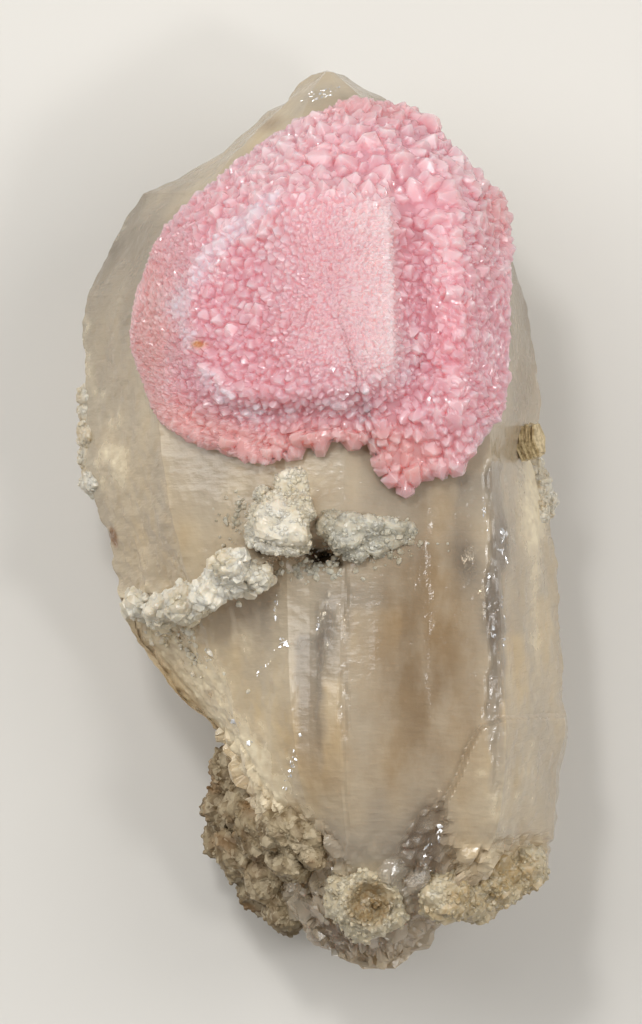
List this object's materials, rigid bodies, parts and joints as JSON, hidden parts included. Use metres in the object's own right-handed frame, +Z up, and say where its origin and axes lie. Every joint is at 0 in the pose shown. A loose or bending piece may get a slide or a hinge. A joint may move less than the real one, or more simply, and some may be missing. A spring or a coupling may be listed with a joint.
{
  "type": "rose quartz crystal specimen",
  "caption": "Cloudy pale smoky quartz crystal lying on its back, its tip covered by a thick crust of small pink rose quartz crystals, with white feldspar and rock on its seam and foot.",
  "frame": {"origin": "under the middle of the specimen's bounding box, on the surface that it lies on", "axes": "+Y along the crystal towards its tip, +Z up from the face it lies on towards the pink crust, +X across it"},
  "size_m": [0.0548, 0.1004, 0.0473],
  "materials": {
    "smoky_quartz": "glassy",
    "rose_quartz": "glassy, sparkling",
    "white_feldspar": "sugary, dull",
    "mica": "pearly",
    "stained_rock": "rough, dull"
  },
  "bodies": {
    "root": {"smoky_quartz": "smoky_quartz", "rose_quartz_crust": "rose_quartz", "albite_block": "white_feldspar", "albite_chain": "white_feldspar", "albite_chain_2": "white_feldspar", "cleft_feldspar": "white_feldspar", "left_edge_albite": "white_feldspar", "right_edge_albite": "white_feldspar", "mica_book": "mica", "base_nodule": "white_feldspar", "base_feldspar": "white_feldspar", "matrix_lump": "stained_rock", "foot_crust": "stained_rock"}
  },
  "joints": []
}
